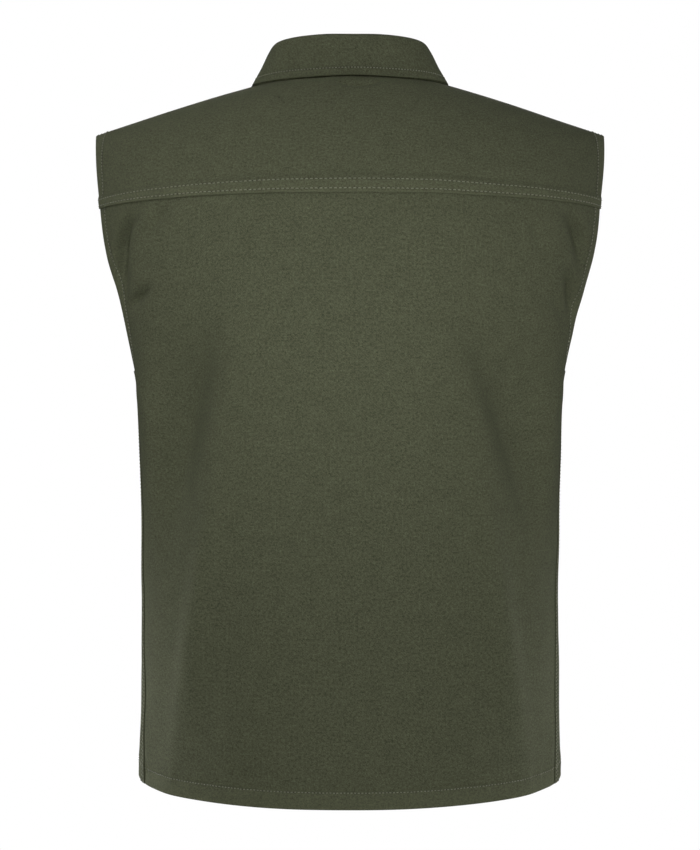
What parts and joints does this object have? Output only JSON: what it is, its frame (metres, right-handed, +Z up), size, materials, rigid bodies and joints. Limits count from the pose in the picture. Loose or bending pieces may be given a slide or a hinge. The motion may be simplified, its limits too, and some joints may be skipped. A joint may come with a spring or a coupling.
{
  "type": "costume vest",
  "caption": "Sleeveless cotton twill vest in olive, shaped as worn, with a turn-down collar, a lapped back yoke, a straight hem and a buttoned front.",
  "frame": {"origin": "Midway between the two points where the shoulder seams meet the collar, where the vest hangs on its wearer's shoulders.", "axes": "+Z up. The front faces -Y, the back faces +Y and the wearer's left is +X."},
  "size_m": [0.468, 0.2761, 0.663],
  "materials": {
    "twill": "matte olive cotton twill",
    "button_plastic": "satin"
  },
  "bodies": {
    "root": {"back_yoke": "twill", "back_panel": "twill", "front_right": "twill", "front_left": "twill", "placket": "twill", "collar": "twill", "button_1": "button_plastic", "button_2": "button_plastic", "button_3": "button_plastic", "button_4": "button_plastic", "button_5": "button_plastic", "button_6": "button_plastic"}
  },
  "joints": []
}
